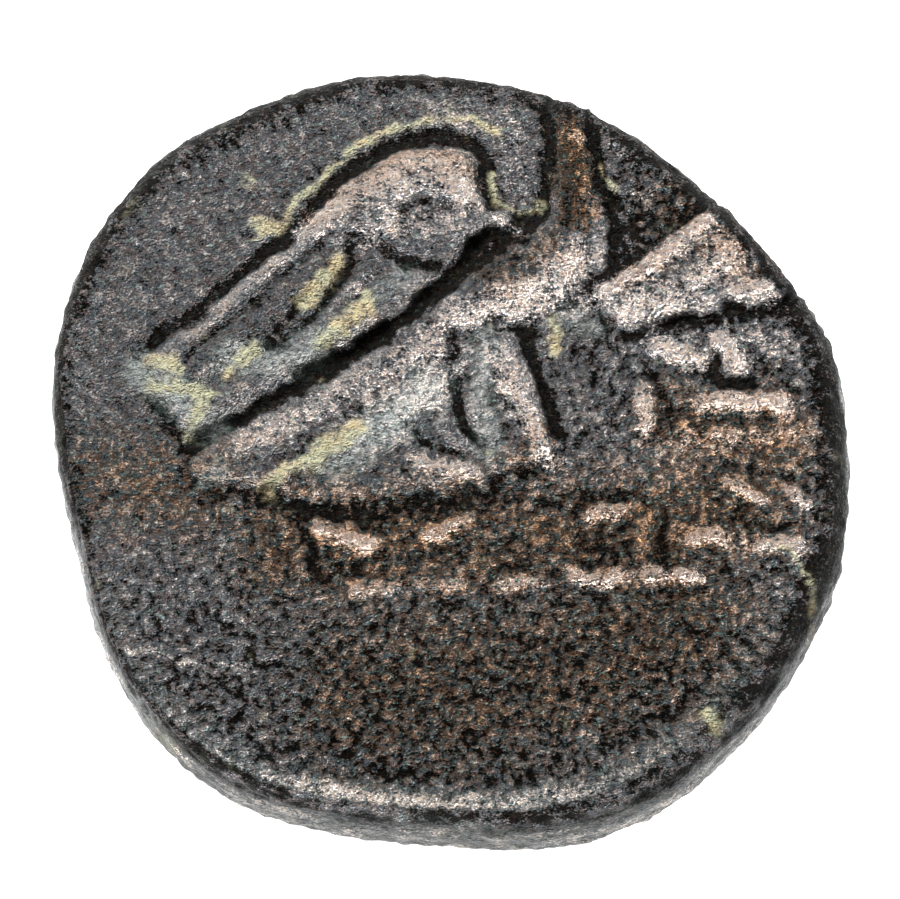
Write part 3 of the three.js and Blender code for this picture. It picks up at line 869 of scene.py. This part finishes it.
class RoundCoin:
    """Gathers the rings of the coin, from the middle of one face over the edge to the other."""

    def __init__(self, settings):
        angles = even_angles(OUTLINE_SAMPLES)
        rim = side_radius(angles) * np.array([np.cos(angles), np.sin(angles)])
        low, high = np.array(COIN_LOW[:2]), np.array(COIN_HIGH[:2])
        self.share = (high - low) / np.ptp(rim, axis=1)
        self.centre = (high + low) / 2 - (rim.min(axis=1) + np.ptp(rim, axis=1) / 2) * self.share
        self.settings = settings
        self.mean_share = float(self.share.mean())
        self.eagle = EagleSide(settings, self.mean_share)
        self.field_height = COIN_HEIGHT - settings.relief_height
        self.points = []
        self.marks = []
        self.counts = []

    def place(self, x, y, z):
        return np.column_stack([
            self.centre[0] + x * self.share[0], self.centre[1] + y * self.share[1], z])

    def add_ring(self, points, marks):
        self.points.append(points)
        self.marks.append(marks)
        self.counts.append(len(points))

    def add_upper_face(self):
        eagle = self.eagle
        for ring in range(UPPER_RINGS + 1):
            angle = even_angles(max(1, DIVISIONS_PER_RING * ring))
            out = upper_radius(angle) * ring / UPPER_RINGS
            x, y = out * np.cos(angle), out * np.sin(angle)
            height = self.field_height + eagle.grid.read(eagle.height, x, y)
            marks = {name: eagle.grid.read(field, x, y) for name, field in eagle.marks.items()}
            self.add_ring(self.place(x, y, height), marks)

    def side_profile(self, level, angle):
        """Points of one level of the rounded edge: 1 at the upper face, -1 at the lower."""
        swell = (1 - abs(level) ** EDGE_SQUARENESS) ** (1 / EDGE_SQUARENESS)
        inner = upper_radius(angle) if level > 0 else lower_radius(angle)
        x, y = inner * np.cos(angle), inner * np.sin(angle)
        if level > 0:
            edge = self.field_height + self.eagle.grid.read(self.eagle.smooth_height, x, y)
        else:
            edge = self.lower_height(x, y)
        out = inner + (side_radius(angle) - inner) * swell
        z = self.settings.widest_height + (edge - self.settings.widest_height) * abs(level)
        return self.place(out * np.cos(angle), out * np.sin(angle), z)

    def side_marks(self, points, level, angle, lump, rough, streak):
        """Surface marks of one ring of the side: painted shade on the bevel above and round the back and
        right, and a bare, pale front below the bevel that is painted lighter as a reflection of the
        floor.
        """
        way = 100 * np.cos(angle), 100 * np.sin(angle)
        thin = blob(*way, THIN_BEVEL_SHADE, THIN_BEVEL_SHADE_REACH)
        bevel = smooth_step(level - 0.15 * lump - 0.1 * streak - 0.16 * thin, 0.5, 0.8)
        front = smooth_step(-np.sin(angle) + 0.5 * lump, -0.6, 0.4)
        right = smooth_step(np.cos(angle), 0.6, 0.95)
        # Painted shade on the back and on the right of the side
        painted_back_and_right_shade = (1 - front) * smooth_step(level, -0.4, 0.3)
        painted_back_and_right_shade += 0.8 * right * smooth_step(level, -0.4, 0.2)
        # Painted shade on the bevel, the back and the right, broken up by lumps, grain and rubbed
        # streaks
        dirt_and_shade = 0.6 * bevel + 0.75 * painted_back_and_right_shade - 0.2 * lump - 0.2 * rough - 0.9 * streak + 0.16
        x, y = ((points[:, :2] - self.centre) / self.share).T
        soil = self.eagle.grid.read(self.eagle.soil, x, y) * smooth_step(level, 0, 0.3)
        stain = 0.5 * blob(*way, YELLOW_SPOT, YELLOW_REACH)
        return {
            "crest": np.clip(1.2 * rough, -1, 1),
            "grime_and_shade": np.clip(dirt_and_shade, 0, 1),
            # Besides the rubbed streaks, the front is painted lighter as a painted reflection of the
            # pale floor
            "worn": (1 - bevel) * np.clip(0.05 + 0.3 * front + 0.7 * streak, 0, 1),
            "brown": np.zeros(len(angle)),
            "bloom": (1 - bevel) * np.clip(0.2 + 0.1 * front + 0.25 * lump, 0, 1),
            "soil": np.maximum(soil, stain * (1 - bevel) * smooth_step(level, -0.3, 0.2)),
        }

    def add_side(self):
        settings = self.settings
        angle = even_angles(DIVISIONS_PER_RING * UPPER_RINGS)
        levels = np.cos(math.pi * np.arange(SIDE_RINGS + 2) / (SIDE_RINGS + 1))
        shape = np.array([self.side_profile(level, angle) for level in levels])
        down = np.gradient(shape, axis=0)
        round_about = np.roll(shape, -1, axis=1) - np.roll(shape, 1, axis=1)
        outward = np.cross(down, round_about)
        outward /= np.linalg.norm(outward, axis=2, keepdims=True)
        shares = np.moveaxis(shape / self.mean_share, 2, 0)
        grain = surface_grain(*(shares.T * SIDE_GRAIN).T, settings.seed)
        lumps = octaves(*shares, 16, 2, settings.seed + 60)
        streaks = octaves(*(shares.T * SIDE_STREAKS).T, 3.2, 3, settings.seed + 80)
        rough_height = settings.grain_depth * 0.75 * grain + settings.swell_depth * 0.5 * lumps
        moved = shape + outward * rough_height[..., None]
        for ring in range(1, SIDE_RINGS + 1):
            marks = self.side_marks(
                shape[ring], levels[ring], angle, lumps[ring], grain[ring], streaks[ring])
            self.add_ring(moved[ring], marks)

    def lower_height(self, x, y):
        return self.settings.lower_relief * (1 - np.minimum(lower_design(x, y), 1))

    def add_lower_face(self):
        for ring in range(LOWER_RINGS, -1, -1):
            angle = even_angles(max(1, DIVISIONS_PER_RING * ring))
            out = lower_radius(angle) * ring / LOWER_RINGS
            x, y = out * np.cos(angle), out * np.sin(angle)
            grain = surface_grain(x, y, 0, self.settings.seed)
            height = self.lower_height(x, y) - self.settings.grain_depth * 0.6 * grain
            marks = {name: np.zeros(len(x)) for name in SURFACE_MARKS}
            marks["crest"] = np.clip(grain, -1, 1)
            # Recessed parts of the design are darker, and the raised parts are partly bare
            marks["grime_and_shade"] = np.clip(height / self.settings.lower_relief, 0, 1)
            marks["worn"] = 0.6 * (1 - marks["grime_and_shade"])
            marks["brown"] = 0.5 + 0 * x
            self.add_ring(self.place(x, y, np.maximum(height, 0)), marks)

    def triangles(self):
        """Triangles between neighbouring rings, which may differ in their number of points."""
        made = []
        first = 0
        for count, next_count in zip(self.counts, self.counts[1:]):
            after = first + count
            i = j = 0
            while i < count or j < next_count:
                corners = [first + i % count, after + j % next_count]
                if (i + 1) / count < (j + 1) / next_count:
                    i += 1
                    corners.append(first + i % count)
                else:
                    j += 1
                    corners.append(after + j % next_count)
                if len(set(corners)) == 3:
                    made.append(corners)
            first = after
        return made

    def make_object(self, name):
        self.add_upper_face()
        self.add_side()
        self.add_lower_face()
        mesh = bpy.data.meshes.new(name)
        mesh.from_pydata(np.vstack(self.points).tolist(), [], self.triangles())
        for mark in SURFACE_MARKS:
            values = np.concatenate([ring[mark] for ring in self.marks]).astype(np.float32)
            mesh.attributes.new(mark, "FLOAT", "POINT").data.foreach_set("value", values)
        mesh.shade_smooth()
        mesh.validate()
        coin = bpy.data.objects.new(name, mesh)
        bpy.context.collection.objects.link(coin)
        return coin


class NodeBoard:
    """Places shader nodes in a tree, each with its values and links set in one call."""

    def __init__(self, tree):
        self.tree = tree

    def node(self, kind, settings=None, **inputs):
        made = self.tree.nodes.new(kind)
        for name, value in (settings or {}).items():
            setattr(made, name, value)
        for name, value in inputs.items():
            self.feed(made.inputs[name.replace("_", " ")], value)
        return made

    def feed(self, socket, value):
        if isinstance(value, bpy.types.NodeSocket):
            self.tree.links.new(value, socket)
        else:
            socket.default_value = value

    def math(self, operation, *values, clamp=False):
        made = self.tree.nodes.new("ShaderNodeMath")
        made.operation = operation
        made.use_clamp = clamp
        for socket, value in zip(made.inputs, values):
            self.feed(socket, value)
        return made.outputs[0]

    def mixed(self, factor, first, second, blend="MIX"):
        made = self.tree.nodes.new("ShaderNodeMix")
        made.data_type = "RGBA"
        made.blend_type = blend
        self.feed(made.inputs[0], factor)
        for socket, value in zip(made.inputs[6:8], (first, second)):
            self.feed(socket, value)
        return made.outputs[2]

    def ramp(self, value, low, high, bottom=0.0, top=1.0):
        made = self.tree.nodes.new("ShaderNodeMapRange")
        made.interpolation_type = "SMOOTHSTEP"
        for socket, amount in zip(made.inputs, (value, low, high, bottom, top)):
            self.feed(socket, amount)
        return made.outputs[0]

    def noise(self, where, scale, detail, roughness):
        made = self.node(
            "ShaderNodeTexNoise", Vector=where, Scale=scale, Detail=detail, Roughness=roughness)
        return made.outputs["Fac"]

    def attribute(self, name):
        return self.node("ShaderNodeAttribute", {"attribute_name": name}).outputs["Fac"]


def color4(color):
    return (*color, 1.0)


def millimetre_coordinates(board):
    """Places in millimetres, pressed together a little from front to back, as the grain is."""
    place = board.node("ShaderNodeTexCoord").outputs["Object"]
    scaled = board.node("ShaderNodeMapping", Vector=place, Scale=(1 / MM, 1.35 / MM, 1.2 / MM))
    return scaled.outputs[0]


def new_group(name, inputs, outputs):
    group = bpy.data.node_groups.new(name, "ShaderNodeTree")
    for label, kind, default in inputs:
        socket = group.interface.new_socket(name=label, in_out="INPUT", socket_type=kind)
        socket.default_value = default
    for label, kind in outputs:
        group.interface.new_socket(name=label, in_out="OUTPUT", socket_type=kind)
    board = NodeBoard(group)
    return group, board, board.node("NodeGroupInput"), board.node("NodeGroupOutput")


def pitting_group():
    """Fine corroded pitting, as a height for bump."""
    group, board, given, result = new_group(
        "coin pitting",
        [("Vector", "NodeSocketVector", (0, 0, 0)), ("Size", "NodeSocketFloat", 0.1),
         ("Contrast", "NodeSocketFloat", 1.0)],
        [("Height", "NodeSocketFloat")])
    where, rate = given.outputs["Vector"], board.math("DIVIDE", 1.0, given.outputs["Size"])
    coarse = board.noise(where, rate, 3.0, 0.65)
    fine = board.noise(where, board.math("MULTIPLY", rate, 2.7), 2.0, 0.6)
    both = board.math("ADD", board.math("MULTIPLY", coarse, 0.65), board.math("MULTIPLY", fine, 0.35))
    centred = board.math("SUBTRACT", both, 0.5)
    height = board.math("MULTIPLY_ADD", centred, given.outputs["Contrast"], 0.5)
    board.feed(result.inputs["Height"], height)
    return group


def shine_mask(board, pattern, mark):
    """How far the metal is bared, from 0 in the dirt and painted shade to 1 on a rubbed crest."""
    rubbed = board.math("MULTIPLY_ADD", mark["worn"], 0.33, 0.35)
    shine = board.math("MULTIPLY_ADD", mark["crest"], 0.16, rubbed)
    speckle = 0.0
    for name, strength in SPECKLE.items():
        centred = board.math("SUBTRACT", pattern[name], 0.5)
        speckle = board.math("MULTIPLY_ADD", centred, strength, speckle)
    liveliness = board.ramp(mark["worn"], 0.0, 0.8, 0.62, 1.7)
    shine = board.math("MULTIPLY_ADD", speckle, liveliness, shine)
    return board.math("SUBTRACT", shine, board.math("MULTIPLY", mark["grime_and_shade"], 0.3), clamp=True)


def metal_color(board, finish, pattern, mark, shine, wear):
    """Dirt with painted shade, patina, half-worn bronze and bare bronze, one after the other as the
    shine grows.
    """
    patchy = board.math("MULTIPLY", pattern["patches"], 0.9)
    tone = board.math("ADD", patchy, board.math("MULTIPLY", pattern["grit"], 1.8))
    warm = board.math("ADD", mark["brown"], board.math("SUBTRACT", tone, 1.4), clamp=True)
    stain = board.mixed(board.ramp(pattern["hue"], 0.42, 0.6), TEAL_STAIN, RUST_STAIN)
    stained = board.ramp(mark["brown"], 0.0, 0.7, 0.3, 0.85)
    dirt_and_shade = board.mixed(1.0, color4(finish.grime_and_shade), stain, "MULTIPLY")
    dark = board.mixed(warm, color4(finish.cool_patina), color4(finish.warm_patina))
    dark = board.mixed(stained, dark, board.mixed(1.0, dark, stain, "MULTIPLY"))
    middle = board.mixed(warm, color4(finish.cool_bronze), color4(finish.rust_bronze))
    rusty = board.math("MULTIPLY", warm, 0.6)
    bare = board.mixed(rusty, color4(finish.bare_bronze), color4(finish.rust_bronze))
    glint = board.mixed(board.ramp(pattern["specks"], 0.4, 0.6), COOL_GLINT, WARM_GLINT)
    bare = board.mixed(0.45, bare, glint)
    color = board.mixed(board.ramp(shine, 0.08, 0.28), dirt_and_shade, dark)
    color = board.mixed(board.ramp(shine, 0.36, 0.58), color, middle)
    return board.mixed(wear, color, bare)


def bloom_layer(board, finish, pattern, mark):
    """Pale bloom, and blue-green specks that fade in the dirt and painted shade: how thick, and its
    colour.
    """
    teal = board.math("MULTIPLY", board.ramp(pattern["teal"], 0.58, 0.68), 0.65)
    teal = board.math("MULTIPLY", teal, board.ramp(mark["grime_and_shade"], 0.2, 0.8, 1.0, 0.2))
    pale = board.math("MULTIPLY", mark["bloom"], board.ramp(pattern["grit"], 0.35, 0.6, 0.2, 0.8))
    kind = board.ramp(mark["bloom"], 0.1, 0.5)
    color = board.mixed(kind, color4(finish.verdigris), color4(finish.bloom))
    return board.math("MAXIMUM", teal, pale), color


def soil_layer(board, finish, pattern, mark):
    """Pale soil with grey and ochre in it: how thick, and its colour."""
    color = board.mixed(pattern["grit"], color4(finish.soil), GREY_SOIL)
    color = board.mixed(board.ramp(pattern["patches"], 0.45, 0.62, 0.0, 0.7), color, OCHRE_SOIL)
    thickness = board.math("MULTIPLY", mark["soil"], board.ramp(pattern["specks"], 0.34, 0.5, 0.35, 1.0))
    return thickness, color


def patina_material(finish):
    """Dark patina, worn to bare metal on crests, with grime, bloom and soil."""
    material = bpy.data.materials.new("patinated_bronze")
    material.use_nodes = True
    shader = material.node_tree.nodes["Principled BSDF"]
    board = NodeBoard(material.node_tree)
    where = millimetre_coordinates(board)
    mark = {name: board.attribute(name) for name in SURFACE_MARKS}
    pattern = {name: board.noise(where, *kind) for name, kind in PATTERNS.items()}

    shine = shine_mask(board, pattern, mark)
    wear = board.ramp(shine, 0.55, 0.8)
    bloom, bloom_color = bloom_layer(board, finish, pattern, mark)
    soil, soil_color = soil_layer(board, finish, pattern, mark)
    color = metal_color(board, finish, pattern, mark, shine, wear)
    color = board.mixed(bloom, color, bloom_color)
    color = board.mixed(soil, color, soil_color)

    # What soil, bloom, and caked dirt with painted shade cover is rough and isn't metallic
    centred = board.math("SUBTRACT", pattern["grit"], 0.5)
    caked_dirt_and_shade = board.ramp(board.math("MULTIPLY_ADD", centred, 1.6, mark["grime_and_shade"]), 0.5, 1.1, 0.0, 0.9)
    covered = board.math("MAXIMUM", board.math("MAXIMUM", soil, bloom), caked_dirt_and_shade)
    bared = board.math("SUBTRACT", 1.0, covered)
    metallic = board.math("MULTIPLY", board.ramp(wear, 0.0, 1.0, 0.8, 0.97), bared)
    roughness = board.ramp(wear, 0.0, 1.0, 0.38, 0.3)
    roughness = board.math("MAXIMUM", roughness, board.math("MULTIPLY", covered, 0.8))

    pitting = board.node(
        "ShaderNodeGroup", {"node_tree": pitting_group()}, Vector=where, Size=PITTING_SIZE,
        Contrast=PITTING_CONTRAST)
    bump = board.node(
        "ShaderNodeBump", Strength=1.0, Distance=PITTING_DEPTH, Height=pitting.outputs["Height"])
    shader.inputs["Specular IOR Level"].default_value = 0.1
    board.feed(shader.inputs["Base Color"], color)
    board.feed(shader.inputs["Metallic"], metallic)
    board.feed(shader.inputs["Roughness"], roughness)
    board.feed(shader.inputs["Normal"], bump.outputs["Normal"])
    return material


def paper_material(color, glow):
    """A pale surface that gives off light of its own, so that no hard shadow shows on it."""
    material = bpy.data.materials.new("pale_surface")
    material.use_nodes = True
    shader = material.node_tree.nodes["Principled BSDF"]
    shader.inputs["Base Color"].default_value = color4(color)
    shader.inputs["Roughness"].default_value = 0.8
    shader.inputs["Emission Color"].default_value = (1, 1, 1, 1)
    shader.inputs["Emission Strength"].default_value = glow
    return material


class COIN_OT_strike(bpy.types.Operator):
    """Strike the coin, wear it and give it its patina"""

    bl_idname = "bronze_coin.strike"
    bl_label = "Strike the Coin"

    def execute(self, context):
        scene = context.scene
        coin = RoundCoin(scene.coin_relief).make_object("patinated_coin")
        coin.data.materials.append(patina_material(scene.coin_finish))
        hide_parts("struck_coin")
        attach(coin, "root")
        return {"FINISHED"}


def aim(thing, place):
    thing.location = place
    thing.rotation_euler = (Vector(TARGET) - place).to_track_quat("-Z", "Y").to_euler()


def add_softbox(name, power, size, azimuth, elevation):
    light = bpy.data.lights.new(name, "AREA")
    light.energy = power
    light.shape = "DISK"
    light.size = size
    lamp = bpy.data.objects.new(name, light)
    bpy.context.collection.objects.link(lamp)
    flat = math.cos(elevation)
    way = Vector((math.sin(azimuth) * flat, math.cos(azimuth) * flat, math.sin(elevation)))
    aim(lamp, Vector(TARGET) + way * SOFTBOX_DISTANCE)


class COIN_OT_stage(bpy.types.Operator):
    """Lay out the pale surface, the soft light and the camera"""

    bl_idname = "bronze_coin.stage"
    bl_label = "Set Up the Stage"

    def execute(self, context):
        stage = context.scene.coin_stage
        mesh = bpy.data.meshes.new("pale_surface")
        ways = ((-1, -1), (1, -1), (1, 1), (-1, 1))
        mesh.from_pydata([(x * FLOOR_REACH, y * FLOOR_REACH, 0) for x, y in ways], [], [(0, 1, 2, 3)])
        mesh.materials.append(paper_material(stage.floor_color, stage.floor_glow))
        floor = bpy.data.objects.new("pale_surface", mesh)
        context.collection.objects.link(floor)

        world = bpy.data.worlds.new("studio")
        world.use_nodes = True
        background = world.node_tree.nodes["Background"]
        background.inputs["Color"].default_value = (1, 1, 1, 1)
        background.inputs["Strength"].default_value = stage.world_glow
        context.scene.world = world

        add_softbox(
            "key_softbox", stage.key_power, stage.key_size, stage.key_azimuth, stage.key_elevation)
        add_softbox("fill_softbox", stage.fill_power, FILL_SIZE, FILL_AZIMUTH, FILL_ELEVATION)

        camera = bpy.data.objects.new("camera", bpy.data.cameras.new("camera"))
        context.collection.objects.link(camera)
        camera.data.sensor_width = SENSOR_WIDTH
        camera.data.lens = SENSOR_WIDTH * stage.camera_distance / stage.frame_width
        camera.data.clip_start = NEAREST_SEEN
        camera.data.clip_end = FARTHEST_SEEN
        away = Vector((0, -math.cos(stage.camera_elevation), math.sin(stage.camera_elevation)))
        aim(camera, Vector(TARGET) + away * stage.camera_distance)
        context.scene.camera = camera
        context.scene.view_settings.view_transform = "Standard"
        return {"FINISHED"}


class COIN_PT_sidebar(bpy.types.Panel):
    """Sizes, colours and light of the coin, and the steps that make it"""

    bl_label = "Bronze Coin"
    bl_space_type = "VIEW_3D"
    bl_region_type = "UI"
    bl_category = "Bronze Coin"

    def draw(self, context):
        layout = self.layout
        for group in (context.scene.coin_relief, context.scene.coin_finish, context.scene.coin_stage):
            for name in group.__annotations__:
                layout.prop(group, name)
        layout.operator(COIN_OT_strike.bl_idname)
        layout.operator(COIN_OT_stage.bl_idname)


CLASSES = (
    CoinReliefSettings, CoinFinishSettings, CoinStageSettings,
    COIN_OT_strike, COIN_OT_stage, COIN_PT_sidebar,
)


def register():
    for kind in CLASSES:
        bpy.utils.register_class(kind)
    bpy.types.Scene.coin_relief = bpy.props.PointerProperty(type=CoinReliefSettings)
    bpy.types.Scene.coin_finish = bpy.props.PointerProperty(type=CoinFinishSettings)
    bpy.types.Scene.coin_stage = bpy.props.PointerProperty(type=CoinStageSettings)


def unregister():
    del bpy.types.Scene.coin_stage
    del bpy.types.Scene.coin_finish
    del bpy.types.Scene.coin_relief
    for kind in reversed(CLASSES):
        bpy.utils.unregister_class(kind)


def main():
    register()
    bpy.ops.bronze_coin.strike()
    bpy.ops.bronze_coin.stage()


if __name__ == "__main__":
    main()
